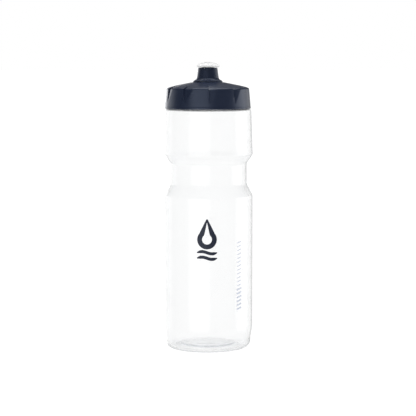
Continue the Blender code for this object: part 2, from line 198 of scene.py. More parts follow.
BODY_SEGMENTS = 300
FINE = 180  # segments of the other large turned pieces
MEDIUM = 96  # segments of the nozzle's pieces
ARC_STEP = math.radians(9)
SHARP = math.radians(32)  # edges turn sharp from this angle on
POLE = 1e-9  # a point closer to the axis makes a pole

# Prints
PRINT_FILM = 0.06 * MM
PRINT_LIFT = 0.02 * MM
SCALE_TICKS = 18
SCALE_LOW_Z = 36 * MM
SCALE_PITCH = 3.2 * MM
SCALE_ANGLE = math.radians(43.5)
SCALE_SLANT = 0.3
MARK_X = -0.6 * MM  # across, from the front
MARK_Z = 93.6 * MM  # middle of the drop's belly
DROP_RADIUS = 6.0 * MM
DROP_TIP = 16.4 * MM  # over the middle of the belly
DROP_SHOULDER = 45  # degrees at which the belly ends and the straight side begins
DROP_WIDTH = 4.0 * MM
DROP_ENDS = 0.25  # share of its width that a stroke keeps at its ends
RIPPLE_Z = (82.9 * MM, 78.4 * MM)
RIPPLE_REACH = 8.2 * MM
RIPPLE_RISE = 0.9 * MM
RIPPLE_WIDTH = 2.6 * MM
RIPPLE_ENDS = 0.3
RIPPLE_STEPS = 24
TAPER_SHARE = 0.16  # of a stroke's length, over which its width grows
FILM_COLUMNS = (-1, -0.33, 0.33, 1)  # across a stroke, as shares of its half width
BOLD_TICK = (2.6 * MM, 1.5 * MM)  # half length and width
FINE_TICK = (2.0 * MM, 0.8 * MM)

# Camera
LENS = 138.8
SENSOR_WIDTH = 36.0
CAMERA_PLACE = (0.0002, -1.3262, 0.2359)
CAMERA_DIP = 5.17  # degrees down

# Studio
FLOOR_SIZE = 400.0
FLOOR_GAP = 0.2 * MM
BACKDROP_LEVEL = 0.97
DIM_SKY_LEVEL = 0.75
DIM_SKY_RISE = (0.22, 0.5)  # height of the direction over which the backdrop turns to dim sky
DIM_SKY_TINT = (0.93, 0.985, 1.06, 1.0)
WHITE = (1.0, 1.0, 1.0, 1.0)
FLOOR_GLOW = 0.885
SUN_ENERGY = 0.5
SUN_ANGLE = math.radians(70)
FILL_LEVELS = (1.2, 0.7)  # for diffuse rays, from level to upright
BEHIND = (0.3, 0.9)  # how far back a direction points where the back glow grows
CEILING_RISE = (0.32, 0.5)  # height of the direction over which the back glow grows

# Brightness of the studio's panels as they are mirrored, by direction: degrees round from the
# front, positive to the right.
PANELS = (
    (-180, 0.15),
    (-174, 3.2),
    (-156, 3.2),
    (-138, 1.4),
    (-112, 1.4),
    (-98, 0.06),
    (-56, 0.06),
    (-40, 3.1),
    (-2, 3.1),
    (10, 0.12),
    (72, 0.12),
    (86, 3.2),
    (114, 3.2),
    (126, 1.2),
    (144, 1.2),
    (150, 0.4),
    (172, 0.6),
    (180, 0.15),
)
PANEL_PEAK = 4.0
PANEL_TOP = math.radians(9)
PANEL_TOP_FADE = math.radians(6)
PANEL_FOOT = math.radians(-12)
PANEL_FADE = math.radians(8)
CEILING_GLOW = 0.10
BACK_GLOW = 0.2  # over the panels behind the object
OVERHEAD = 4.0  # brightness of the bright patch straight above
OVERHEAD_EDGE = (math.radians(48), math.radians(64))


# ---------------------------------------------------------------- meshes


def finish_mesh(name, builder, material, sharp=SHARP):
    """An object from a bmesh, with outward normals and smooth shading up to a sharp angle."""
    bmesh.ops.recalc_face_normals(builder, faces=builder.faces)
    mesh = bpy.data.meshes.new(name)
    builder.to_mesh(mesh)
    builder.free()
    mesh.shade_smooth()
    mesh.set_sharp_from_angle(angle=sharp)
    mesh.materials.append(material)
    made = bpy.data.objects.new(name, mesh)
    bpy.context.scene.collection.objects.link(made)
    return made


def outline(corners, closed=False):
    """Points (radius, height) of an outline with its corners (radius, height, fillet) rounded."""
    points = []
    count = len(corners)
    for index, (radius, height, fillet) in enumerate(corners):
        corner = Vector((radius, height))
        inside = closed or 0 < index < count - 1
        if not fillet or not inside:
            points.append(corner)
            continue
        before = (Vector(corners[index - 1][:2]) - corner).normalized()
        after = (Vector(corners[(index + 1) % count][:2]) - corner).normalized()
        half = before.angle(after) / 2
        centre = corner + (before + after).normalized() * (fillet / math.sin(half))
        start = corner + before * (fillet / math.tan(half)) - centre
        end = corner + after * (fillet / math.tan(half)) - centre
        sweep = start.angle_signed(end)
        steps = max(2, math.ceil(abs(sweep) / ARC_STEP))
        for step in range(steps + 1):
            points.append(centre + Matrix.Rotation(-sweep * step / steps, 2) @ start)
    return points


def spaced(points, longest):
    """The outline with its long stretches divided, so that no edge is longer than that."""
    dense = [points[0]]
    for start, end in zip(points, points[1:]):
        steps = max(1, math.ceil((end - start).length / longest))
        for step in range(1, steps + 1):
            dense.append(start.lerp(end, step / steps))
    return dense


def turned(name, points, segments, material, closed=False, shape=None, extra_angles=()):
    """A solid of revolution from (radius, height) points. Radius 0 makes a pole. shape(angle,
    point, index) may move a point of the section at an angle. extra_angles adds columns."""
    builder = bmesh.new()
    rings = []
    even_angles = [math.tau * segment / segments for segment in range(segments)]
    angles = sorted([*even_angles, *extra_angles])
    for index, point in enumerate(points):
        if point.x < POLE:
            rings.append([builder.verts.new((0, 0, point.y))])
            continue
        ring = []
        for angle in angles:
            place = shape(angle, point, index) if shape else point
            position = (place.x * math.cos(angle), place.x * math.sin(angle), place.y)
            ring.append(builder.verts.new(position))
        rings.append(ring)
    pairs = list(zip(rings, rings[1:]))
    if closed:
        pairs.append((rings[-1], rings[0]))
    for lower, upper in pairs:
        for segment in range(len(angles)):
            beside = (segment + 1) % len(angles)
            corners = [
                lower[segment % len(lower)],
                lower[beside % len(lower)],
                upper[beside % len(upper)],
                upper[segment % len(upper)],
            ]
            distinct = list(dict.fromkeys(corners))
            builder.faces.new(distinct)
    return finish_mesh(name, builder, material)


def thread_ridge(name, wall, outward, middle_z, reach, material):
    """A helical ridge of trapezoid section on a round wall, run out into the wall at both ends.
    outward is 1 or -1, and reach holds the first and the last turn."""
    builder = bmesh.new()
    first_turn, last_turn = reach
    steps = round((last_turn - first_turn) * FINE)
    fade = FINE * THREAD_FADE / 360
    outer_bevel, inner_bevel = THREAD_BEVEL
    sections = []
    for step in range(steps + 1):
        turns = first_turn + (last_turn - first_turn) * step / steps
        grown = math.sin(math.pi / 2 * min(1, step / fade, (steps - step) / fade))
        root = wall - outward * THREAD_ROOT_SINK
        sunk = THREAD_END_SINK * (1 - grown)
        crest = wall + outward * (THREAD_HEIGHT * grown - sunk)
        shoulder = wall + outward * ((THREAD_HEIGHT - THREAD_EDGE) * grown - sunk)
        z = middle_z + PITCH * turns
        ring = Matrix.Rotation(math.tau * turns, 4, "Z")
        corners = (
            (root, z - THREAD_BASE / 2),
            (shoulder, z - THREAD_CREST / 2 - outer_bevel),
            (crest, z - THREAD_CREST / 2 + inner_bevel),
            (crest, z + THREAD_CREST / 2 - inner_bevel),
            (shoulder, z + THREAD_CREST / 2 + outer_bevel),
            (root, z + THREAD_BASE / 2),
        )
        sections.append([builder.verts.new(ring @ Vector((r, 0, h))) for r, h in corners])
    count = len(sections[0])
    for lower, upper in zip(sections, sections[1:]):
        for side in range(count):
            following = (side + 1) % count
            builder.faces.new((lower[side], lower[following], upper[following], upper[side]))
    builder.faces.new(sections[0])
    builder.faces.new(sections[-1])
    return finish_mesh(name, builder, material)


def unite(target, other):
    """Joins another closed mesh into target for good."""
    modifier = target.modifiers.new("unite", "BOOLEAN")
    modifier.operation = "UNION"
    modifier.solver = "EXACT"
    modifier.object = other
    bpy.context.view_layer.objects.active = target
    with bpy.context.temp_override(object=target, active_object=target):
        bpy.ops.object.modifier_apply(modifier=modifier.name)
    bpy.data.objects.remove(other)
    target.data.set_sharp_from_angle(angle=SHARP)


def place(piece, body, *nodes, slot=None):
    """The piece rides on a body and stands for CAD nodes."""
    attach(piece, body)
    if nodes:
        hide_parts(*nodes)
    return piece


# ------------------------------------------------------------- materials


class Shader:
    """A Principled material with short calls for the nodes that this file needs."""

    def __init__(self, name, colour, roughness, **sockets):
        self.material = bpy.data.materials.new(name)
        self.material.use_nodes = True
        self.tree = self.material.node_tree
        self.principled = self.tree.nodes["Principled BSDF"]
        self.put(self.principled, "Base Color", (*colour, 1.0))
        self.put(self.principled, "Roughness", roughness)
        for socket, value in sockets.items():
            self.put(self.principled, socket.replace("_", " "), value)
        self.coordinates = self.add("ShaderNodeTexCoord").outputs["Object"]

    def add(self, kind, **settings):
        """A new node of a kind."""
        node = self.tree.nodes.new(kind)
        for setting, value in settings.items():
            setattr(node, setting, value)
        return node

    def put(self, node, socket, value):
        """Sets a socket to a value, or links it to another node's socket."""
        if isinstance(value, bpy.types.NodeSocket):
            self.tree.links.new(value, node.inputs[socket])
        else:
            node.inputs[socket].default_value = value

    def noise(self, scale, detail=2.0):
        """Soft noise in object coordinates."""
        node = self.add("ShaderNodeTexNoise")
        self.put(node, "Vector", self.coordinates)
        self.put(node, "Scale", scale)
        self.put(node, "Detail", detail)
        return node.outputs["Fac"]

    def grains(self, scale):
        """Cells with a raised edge, as a grained mould leaves them."""
        node = self.add("ShaderNodeTexVoronoi")
        self.put(node, "Vector", self.coordinates)
        self.put(node, "Scale", scale)
        return node.outputs["Distance"]

    def ranged(self, factor, low, high, start=0.0, end=1.0):
        """A factor from start..end mapped to low..high."""
        node = self.add("ShaderNodeMapRange")
        self.put(node, "Value", factor)
        self.put(node, "From Min", start)
        self.put(node, "From Max", end)
        self.put(node, "To Min", low)
        self.put(node, "To Max", high)
        return node.outputs["Result"]

    def mixed(self, factor, first, second):
        """A colour between two by a factor."""
        node = self.add("ShaderNodeMix", data_type="RGBA")
        self.put(node, "Factor", factor)
        self.put(node, "A", (*first, 1.0))
        self.put(node, "B", (*second, 1.0))
        return node.outputs["Result"]

    def bumped(self, *layers):
        """Bump from (height, distance, strength) layers, the first one lowest."""
        normal = None
        for height, distance, strength in layers:
            node = self.add("ShaderNodeBump")
            self.put(node, "Height", height)
            self.put(node, "Distance", distance)
            self.put(node, "Strength", strength)
            if normal:
                self.put(node, "Normal", normal)
            normal = node.outputs["Normal"]
        self.put(self.principled, "Normal", normal)


def translucent_wall():
    """Nearly clear blown plastic with a satin surface. It absorbs a trace more red than blue."""
    s = Shader(
        "translucent_ldpe",
        (0.997, 0.999, 0.999),
        0.14,
        Transmission_Weight=1.0,
        IOR=1.34,
    )
    haze = s.noise(90.0, 3.0)
    s.put(s.principled, "Roughness", s.ranged(haze, 0.10, 0.18, 0.3, 0.7))
    absorption = s.add("ShaderNodeVolumeAbsorption")
    s.put(absorption, "Color", (0.78, 0.87, 0.96, 1.0))
    s.put(absorption, "Density", 7.0)
    output = s.tree.nodes["Material Output"]
    s.tree.links.new(absorption.outputs["Volume"], output.inputs["Volume"])
    return s.material


def cap_plastic():
    """Dark navy polypropylene with a fine spark-eroded grain and slightly burnished patches."""
    s = Shader("navy_polypropylene", (0.010, 0.0145, 0.028), 0.3, Specular_IOR_Level=0.3)
    s.put(s.principled, "Specular Tint", (0.72, 0.82, 1.0, 1.0))
    cloud = s.noise(60.0, 3.0)
    grain = s.grains(2400.0)
    fine = s.noise(5200.0)
    blotch = s.ranged(cloud, 0.0, 1.0, 0.35, 0.65)
    navy = s.mixed(blotch, (0.0095, 0.0140, 0.0290), (0.0115, 0.0160, 0.0320))
    s.put(s.principled, "Base Color", navy)
    s.put(s.principled, "Roughness", s.ranged(cloud, 0.27, 0.34, 0.3, 0.7))
    s.bumped((grain, 0.03 * MM, 0.35), (fine, 0.01 * MM, 0.3))
    return s.material


def soft_tip():
    """Translucent white silicone."""
    s = Shader(
        "clear_silicone",
        (0.985, 0.99, 0.99),
        0.32,
        Transmission_Weight=0.15,
        IOR=1.41,
    )
    haze = s.noise(160.0, 3.0)
    s.put(s.principled, "Roughness", s.ranged(haze, 0.26, 0.4, 0.3, 0.7))
    s.bumped((s.noise(700.0), 0.05 * MM, 0.25))
    return s.material


def white_plastic():
    """White polypropylene of the sliding tube."""
    s = Shader("white_polypropylene", (0.86, 0.87, 0.87), 0.34, IOR=1.46)
    haze = s.noise(200.0, 3.0)
    s.put(s.principled, "Base Color", s.mixed(haze, (0.84, 0.85, 0.85), (0.88, 0.89, 0.89)))
    s.put(s.principled, "Roughness", s.ranged(haze, 0.28, 0.4, 0.3, 0.7))
    s.bumped((s.noise(1500.0), 0.02 * MM, 0.3))
    return s.material


def seal_rubber():
    """Grey elastomer, matt with a fine bloom."""
    s = Shader("grey_elastomer", (0.20, 0.22, 0.25), 0.62)
    bloom = s.noise(420.0, 4.0)
    s.put(s.principled, "Base Color", s.mixed(bloom, (0.17, 0.19, 0.22), (0.23, 0.25, 0.28)))
    s.put(s.principled, "Roughness", s.ranged(bloom, 0.55, 0.72, 0.3, 0.7))
    s.bumped((s.noise(3000.0), 0.02 * MM, 0.4))
    return s.material


def ink(name, colour):
    """Screen-printing ink: smoother than the wall, with a slightly uneven film."""
    s = Shader(name, colour, 0.4, Specular_IOR_Level=0.25)
    film = s.noise(900.0, 3.0)
    lighter = tuple(min(1.0, c * 1.12) for c in colour)
    s.put(s.principled, "Base Color", s.mixed(film, colour, lighter))
    s.put(s.principled, "Roughness", s.ranged(film, 0.36, 0.48, 0.3, 0.7))
    s.bumped((film, 0.01 * MM, 0.3),)
    return s.material


def floor_paint():
    """A plain floor that shines by itself: full white to the camera, a little less to other rays."""
    s = Shader("pale_floor", (0.1, 0.1, 0.1), 0.9, Specular_IOR_Level=0.0)
    s.put(s.principled, "Emission Color", (1, 1, 1, 1))
    seen = s.add("ShaderNodeLightPath").outputs["Is Camera Ray"]
    s.put(s.principled, "Emission Strength", s.ranged(seen, FLOOR_GLOW, 1.0))
    return s.material


# ---------------------------------------------------------------- pieces


def seamed(angle, point, index, last_outer):
    """Raises the mould's parting line, a low ridge on both sides of the bottle, up to a point of
    the outline and outside the punt."""
    if index > last_outer or point.x < PUNT_RADIUS:
        return point
    offset = (angle + math.pi / 2) % math.pi - math.pi / 2
    share = max(0.0, 1 - abs(offset) / SEAM_HALF_ANGLE)
    return Vector((point.x + SEAM_PROUD * share * share * (3 - 2 * share), point.y))


def bottle_body(material):
    """The whole blown bottle with its wall, both surfaces, the neck and its thread."""
    inner = BODY_RADIUS - WALL
    waist_inner = WAIST_RADIUS - WALL
    crown_radius = PUNT_RADIUS - PUNT_BAND
    outer_corners = [
        (0, PUNT_DEPTH + 0.5 * MM, 0),
        (crown_radius, PUNT_DEPTH + 0.4 * MM, PUNT_CROWN_ROUND),
        (PUNT_RADIUS, PUNT_DEPTH - 0.2 * MM, PUNT_ROUND),
        (FOOT_INNER, 0, FOOT_ROUND),
        (HEEL_RADIUS, 0, HEEL_RADIUS - FOOT_OUTER),
        (HEEL_RADIUS + HEEL_SWELL, HEEL_SWELL_Z, 8 * MM),
        (BODY_RADIUS, HEEL_TOP_Z, 12 * MM),
        (BODY_RADIUS, SLOPE_START_Z, 4 * MM),
        (WAIST_RADIUS, WAIST_LOW_Z, 4 * MM),
        (WAIST_RADIUS, WAIST_HIGH_Z, 3 * MM),
        (BODY_RADIUS, SLOPE_END_Z, 3 * MM),
        (SHOULDER_RADIUS, SHOULDER_Z, SHOULDER_ROUND),
        (NECK_RADIUS, SHOULDER_Z, 0.6 * MM),
        (NECK_RADIUS, NECK_TOP_Z, NECK_ROUND),
        (MOUTH_RADIUS, NECK_TOP_Z, NECK_ROUND),
    ]
    inner_corners = [
        (MOUTH_RADIUS, SHOULDER_Z - SHOULDER_WALL, 0.5 * MM),
        (SHOULDER_RADIUS - SHOULDER_INSET, SHOULDER_Z - SHOULDER_WALL, 1.3 * MM),
        (inner, SLOPE_END_Z + INNER_RISE, 2 * MM),
        (waist_inner, WAIST_HIGH_Z + INNER_RISE, 4 * MM),
        (waist_inner, WAIST_LOW_Z - INNER_DROP, 5 * MM),
        (inner, SLOPE_START_Z - INNER_DROP, 3 * MM),
        (inner, HEEL_TOP_Z, 8 * MM),
        (HEEL_RADIUS - WALL, FOOT_WALL, 4.2 * MM),
        (FOOT_INNER + INNER_OFFSET, FOOT_WALL, 0.8 * MM),
        (PUNT_RADIUS + INNER_OFFSET, PUNT_DEPTH + 1.2 * MM, 4.0 * MM),
        (crown_radius, PUNT_DEPTH + 1.8 * MM, PUNT_CROWN_ROUND),
        (0, PUNT_DEPTH + 1.9 * MM, 0),
    ]
    points = spaced(outline(outer_corners + inner_corners), LONGEST_EDGE)
    near_neck = NECK_RADIUS + 0.5 * MM
    neck_foot = next(i for i, p in enumerate(points) if p.x <= near_neck and p.y > SLOPE_END_Z)

    def shape(angle, point, index):
        return seamed(angle, point, index, neck_foot - 1)

    seams = []
    for side in (0, math.pi):
        for share in SEAM_COLUMNS:
            seams.append((side + SEAM_HALF_ANGLE * share) % math.tau)
    body = turned(
        "bottle_body_fine", points, BODY_SEGMENTS, material, shape=shape, extra_angles=seams
    )
    unite(body, thread_ridge("neck_thread", NECK_RADIUS, 1, THREAD_Z, NECK_THREAD_TURNS, material))
    return place(body, "bottle", "bottle_body")


def notch_depth(offset, spread):
    """Share of the notch's depth at an angle from its apex, 0 outside it."""
    start = -NOTCH_LEAN * spread
    width = NOTCH_ANGLE * spread
    if spread <= 0 or not start < offset < start + width:
        return 0.0
    rise = min(1.0, (offset - start) / NOTCH_STEP)
    fall = 1 - (offset - start) / width
    return rise * rise * (3 - 2 * rise) * fall


def cap_columns():
    """Angles of one sector's columns from the notch's apex: close together at the step."""
    step = -NOTCH_LEAN
    columns = [step + NOTCH_STEP * (share / STEP_COLUMNS) for share in range(STEP_COLUMNS + 1)]
    reach = NOTCH_ANGLE - NOTCH_STEP
    slopes = range(1, SLOPE_COLUMNS + 1)
    columns += [step + NOTCH_STEP + reach * share / SLOPE_COLUMNS for share in slopes]
    free = math.tau / NOTCH_COUNT - NOTCH_ANGLE
    grips = range(1, GRIP_COLUMNS)
    columns += [step + NOTCH_ANGLE + free * share / GRIP_COLUMNS for share in grips]
    return columns


def skirt_rows():
    """The cap's lip and skirt as (point, spread, depth) rows: a notch's share of its full width
    and of its full depth there."""
    lip = CAP_BOTTOM_RADIUS
    over_lip, at_notch = SKIRT_STEP
    lip_end, skirt_start = CAP_LIP_Z
    skirt = outline(
        [
            (lip - CAP_LIP_WIDTH, CAP_BOTTOM_Z, 0),
            (lip, CAP_BOTTOM_Z, 0.7 * MM),
            (lip, CAP_BOTTOM_Z + lip_end, 0.5 * MM),
            (lip - over_lip, CAP_BOTTOM_Z + skirt_start, 0.3 * MM),
            (lip - at_notch, NOTCH_APEX_Z, 0),
        ]
    )
    rows = [(point, 0.0, 0.0) for point in skirt]
    foot = Vector((lip - at_notch, NOTCH_APEX_Z))
    head = Vector((CAP_TOP_RADIUS, CAP_RIM_Z - CAP_RIM_ROUND))
    for step in range(1, SKIRT_ROWS + 1):
        share = step / SKIRT_ROWS
        rows.append((foot.lerp(head, share), share, share))
    return rows


def rim_rows():
    """The cap's round rim, where the notches are deepest."""
    rows = []
    for step in range(1, RIM_ROWS + 1):
        angle = math.radians(RIM_ROW_ANGLE * step)
        radius = CAP_TOP_RADIUS - CAP_RIM_ROUND * (1 - math.cos(angle))
        height = CAP_RIM_Z - CAP_RIM_ROUND + CAP_RIM_ROUND * math.sin(angle)
        rows.append((Vector((radius, height)), 1.0, 1.0))
    return rows


def cone_rows(start):
    """The outer part of the cone, where the notches run out."""
    top = spaced([start, Vector(CONE_FOOT), Vector(CONE_MIDDLE)], CONE_STEP)
    last = len(top) - 1
    return [(point, 1.0, max(0.0, 1 - index / last)) for index, point in enumerate(top[1:], 1)]


def cap_section():
    """The cap's section all the way round, as (point, spread, depth) rows."""
    rows = skirt_rows() + rim_rows()
    rows += cone_rows(rows[-1][0])
    socket_outer = SOCKET_RADIUS + SOCKET_WALL
    cone_inner, cone_outer = CONE_UNDERSIDE
    flare, flare_z = CAP_BORE_FLARE
    rest = outline(
        [
            (*CONE_MIDDLE, 0),
            (*CONE_HEAD, 4 * MM),
            (*UNDERCUT[0], 0.2 * MM),
            (*UNDERCUT[1], 0.3 * MM),
            (*TOWER_FOOT, TOWER_FLARE),
            (TOWER_TOP_RADIUS, TOWER_TOP_Z, 0.5 * MM),
            (TOWER_LIP, TOWER_TOP_Z, 0.3 * MM),
            (TOWER_LIP, TOWER_LIP_Z, 0.2 * MM),
            (TOWER_BORE, TOWER_BORE_TOP_Z, 0.2 * MM),
            (TOWER_BORE, SOCKET_TOP_Z, 0),
            (SOCKET_RADIUS, SOCKET_TOP_Z, 0.2 * MM),
            (SOCKET_RADIUS, SOCKET_LOW_Z, 0.3 * MM),
            (socket_outer, SOCKET_LOW_Z, 0.3 * MM),
            (socket_outer, CONE_UNDERSIDE_Z, 0.5 * MM),
            (cone_inner, CONE_UNDERSIDE_Z, 1 * MM),
            (cone_outer, CONE_UNDERSIDE_FOOT_Z, 0.2 * MM),
            (cone_outer, SEAL_RIB_Z, 0.3 * MM),
            (SEAL_RIB_RADIUS, SEAL_RIB_Z, 0.3 * MM),
            (SEAL_RIB_RADIUS, CAP_CEILING_Z, 0.2 * MM),
            (CAP_BORE, CAP_CEILING_Z, 0.4 * MM),
            (CAP_BORE, CAP_BOTTOM_Z + flare_z, 0.2 * MM),
            (CAP_BORE + flare, CAP_BOTTOM_Z, 0.1 * MM),
            (CAP_BOTTOM_RADIUS - CAP_LIP_WIDTH, CAP_BOTTOM_Z, 0),
        ]
    )
    return rows + [(point, 1.0, 0.0) for point in rest[1:-1]]


def cap_shell(material):
    """The screw cap: rows round its section, sunk at the saw-tooth grip notches."""
    rows = cap_section()
    count = len(rows)
    builder = bmesh.new()
    grid = []
    angles = cap_columns()
    for index, (point, spread, depth) in enumerate(rows):
        before = rows[index - 1][0]
        after = rows[(index + 1) % count][0]
        along = (after - before).normalized()
        inward = Vector((-along.y, along.x))
        ring = []
        for notch in range(NOTCH_COUNT):
            for offset in angles:
                moved = offset if spread == 1.0 else squeezed(offset, spread)
                sunk = NOTCH_DEPTH * depth * notch_depth(moved, spread)
                place_2d = point + inward * sunk
                turn = NOTCH_FIRST + math.tau * notch / NOTCH_COUNT + moved
                spot = (place_2d.x * math.cos(turn), place_2d.x * math.sin(turn), place_2d.y)
                ring.append(builder.verts.new(spot))
        grid.append(ring)
    columns = len(grid[0])
    for index, ring in enumerate(grid):
        upper = grid[(index + 1) % count]
        for column in range(columns):
            beside = (column + 1) % columns
            builder.faces.new((ring[column], ring[beside], upper[beside], upper[column]))
    cap = finish_mesh("cap_shell_fine", builder, material, CAP_SHARP)
    ridge_z = THREAD_Z - THREAD_DROP
    unite(cap, thread_ridge("cap_thread", CAP_BORE, -1, ridge_z, CAP_THREAD_TURNS, material))
    return place(cap, "cap", "cap_shell")


def squeezed(offset, spread):
    """A column's angle lower down, where the notch is narrower: the columns close up on it."""
    spread = max(spread, NOTCH_NARROWEST)
    start = -NOTCH_LEAN
    if offset <= start + NOTCH_ANGLE:
        return offset * spread
    left = (start + NOTCH_ANGLE) * spread
    end = math.tau / NOTCH_COUNT + start * spread
    share = (offset - start - NOTCH_ANGLE) / (math.tau / NOTCH_COUNT - NOTCH_ANGLE)
    return left + (end - left) * share


def cap_gasket(material):
    """The sealing ring with its wiper lip."""
    inner = GASKET_BORE
    outer = GASKET_HIGH.x
    wiper = MOUTH_RADIUS - WIPER_GAP
    face = GASKET_LOW.z + GASKET_LIP
    corners = [
        (inner, GASKET_LOW.z, 0.15 * MM),
        (wiper, GASKET_LOW.z, 0.15 * MM),
        (wiper, face, 0.1 * MM),
        (outer, face, 0.25 * MM),
        (outer, GASKET_HIGH.z, 0.25 * MM),
        (inner, GASKET_HIGH.z, 0.2 * MM),
    ]
    ring = turned("cap_gasket_fine", outline(corners, True), FINE, material, closed=True)
    return place(ring, "gasket", "cap_gasket")


def stopper_post(material):
    """Clipped-in ring, spokes and the post that closes the drinking hole."""
    low = POST_LOW.z
    ring_outer = SOCKET_RADIUS - GAP
    ring_bore = TOWER_BORE + INSERT_SLACK
    post = [
        (0, low, 0),
        (POST_RADIUS, low, 0.4 * MM),
        (POST_RADIUS, POST_NECK_Z, 0.4 * MM),
        (HOLE_RADIUS - GAP, POST_HEAD_Z, 0.4 * MM),
        (HOLE_RADIUS - GAP, POST_HIGH.z, 0.6 * MM),
        (0, POST_HIGH.z, 0),
    ]
    ring = [
        (ring_bore, low, 0.3 * MM),
        (ring_outer, low, 0.3 * MM),
        (ring_outer, SOCKET_TOP_Z - GAP, 0.3 * MM),
        (ring_bore, SOCKET_TOP_Z - GAP, 0.3 * MM),
    ]
    insert = turned("stopper_post_fine", outline(post), MEDIUM, material)
    unite(insert, turned("stopper_ring", outline(ring, True), MEDIUM, material, closed=True))
    reach = (ring_bore + ring_outer) / 2
    for spoke in range(SPOKE_COUNT):
        builder = bmesh.new()
        bmesh.ops.create_cube(builder, size=1)
        size = Matrix.Diagonal((reach, SPOKE_WIDTH, SPOKE_HEIGHT, 1))
        middle = Matrix.Translation((reach / 2, 0, low + SPOKE_MIDDLE))
        turn = Matrix.Rotation(math.tau * spoke / SPOKE_COUNT + SPOKE_FIRST, 4, "Z")
        bmesh.ops.transform(builder, matrix=turn @ middle @ size, verts=builder.verts)
        unite(insert, finish_mesh("stopper_spoke", builder, material))
    return place(insert, "cap", "stopper_post")


def nozzle_sleeve(material):
    """The sliding tube with its stop bead and seal groove."""
    bead = TOWER_BORE - GAP
    tube = TOWER_LIP - GAP
    groove_low, groove_high = GROOVE_Z
    corners = [
        (SLEEVE_BORE, SLEEVE_LOW.z, 0.2 * MM),
        (bead - SLEEVE_CHAMFER, SLEEVE_LOW.z, 0.1 * MM),
        (bead, SLEEVE_LOW.z + SLEEVE_CHAMFER, 0.1 * MM),
        (bead, groove_low, 0.1 * MM),
        (GROOVE_RADIUS, groove_low, 0.15 * MM),
        (GROOVE_RADIUS, groove_high, 0.15 * MM),
        (bead, groove_high, 0.1 * MM),
        (bead, BEAD_TOP_Z, 0.1 * MM),
        (tube, BEAD_TOP_Z + SLEEVE_CHAMFER, 0.2 * MM),
        (tube, SLEEVE_HIGH.z, 0.3 * MM),
        (SLEEVE_BORE, SLEEVE_HIGH.z, 0.2 * MM),
    ]
    tube_mesh = turned("nozzle_sleeve_fine", outline(corners, True), MEDIUM, material, closed=True)
    return place(tube_mesh, "nozzle", "nozzle_sleeve")


def nozzle_o_ring(material):
    """A round-section seal."""
    section = (RING_HIGH.z - RING_LOW.z) / 2
    middle = Vector((RING_HIGH.x - section, (RING_HIGH.z + RING_LOW.z) / 2))
    points = []
    for step in range(O_RING_SIDES):
        angle = math.tau * step / O_RING_SIDES
        points.append(middle + Vector((math.cos(angle), math.sin(angle))) * section)
    ring = turned("nozzle_o_ring_fine", points, MEDIUM, material, closed=True)
    return place(ring, "nozzle", "nozzle_o_ring")


def mouthpiece(material):
    """The soft tip: bite lip, dome and a thickened rim round the hole."""
    low = TIP_LOW.z
    top = TIP_HIGH.z
    lip = TIP_HIGH.x
    seat = TOWER_LIP
    seat_z = SLEEVE_HIGH.z + GAP
    foot_inset, edge_inset = TIP_LIP_INSET
    widest, edge = TIP_LIP_Z
    corners = [
        (seat, low, 0.2 * MM),
        (lip - foot_inset, low, 0.6 * MM),
        (lip, low + widest, 0.7 * MM),
        (lip - edge_inset, low + edge, 0.6 * MM),
        (lip - TIP_WAIST[0], top - TIP_WAIST[1], 0.5 * MM),
        (DOME_EDGE[0], top - DOME_EDGE[1], 2.0 * MM),
        (RIM_FOOT[0], top - RIM_FOOT[1], 0.3 * MM),
        (RIM_TOP_RADIUS, top, 0.2 * MM),
        (HOLE_RADIUS, top, 0.3 * MM),
        (HOLE_RADIUS, seat_z, 0.2 * MM),
        (seat, seat_z, 0.2 * MM),
    ]
    tip = turned("mouthpiece_fine", outline(corners, True), MEDIUM, material, closed=True)
    return place(tip, "nozzle", "mouthpiece")


# ---------------------------------------------------------------- prints


def on_wall(across, z, lift):
    """A point on the lower body, at a distance round it from the front."""
    angle = across / BODY_RADIUS - math.pi / 2
    radius = BODY_RADIUS + lift
    return Vector((radius * math.cos(angle), radius * math.sin(angle), z))


def stroke(builder, line, widths):
    """A thin closed film along a line of (across, height) points, with a width at each."""
    rows = []
    for index, spot in enumerate(line):
        before = line[max(index - 1, 0)]
        after = line[min(index + 1, len(line) - 1)]
        along = (after - before).normalized()
        aside = Vector((-along.y, along.x)) * widths[index] / 2
        row = []
        for lift in (PRINT_LIFT, PRINT_LIFT + PRINT_FILM):
            for share in FILM_COLUMNS:
                flat = spot + aside * share
                row.append(builder.verts.new(on_wall(flat.x, flat.y, lift)))
        rows.append([row[0], row[1], row[2], row[3], row[7], row[6], row[5], row[4]])
    count = len(rows[0])
    for lower, upper in zip(rows, rows[1:]):
        for side in range(count):
            following = (side + 1) % count
            builder.faces.new((lower[side], lower[following], upper[following], upper[side]))
    builder.faces.new(rows[0])
    builder.faces.new(rows[-1])


def arc_line(centre, radius, start, end, steps):
    """Points along an arc, angles in degrees."""
    points = []
    for step in range(steps + 1):
        angle = math.radians(start + (end - start) * step / steps)
        points.append(centre + Vector((radius * math.cos(angle), radius * math.sin(angle))))
    return points


def tapered(count, width, ends):
    """Widths along a stroke that narrow over its ends."""
    widths = []
    for index in range(count):
        near = min(index, count - 1 - index) / max(1, count - 1)
        widths.append(width * min(1.0, ends + (1 - ends) * near / TAPER_SHARE))
    return widths


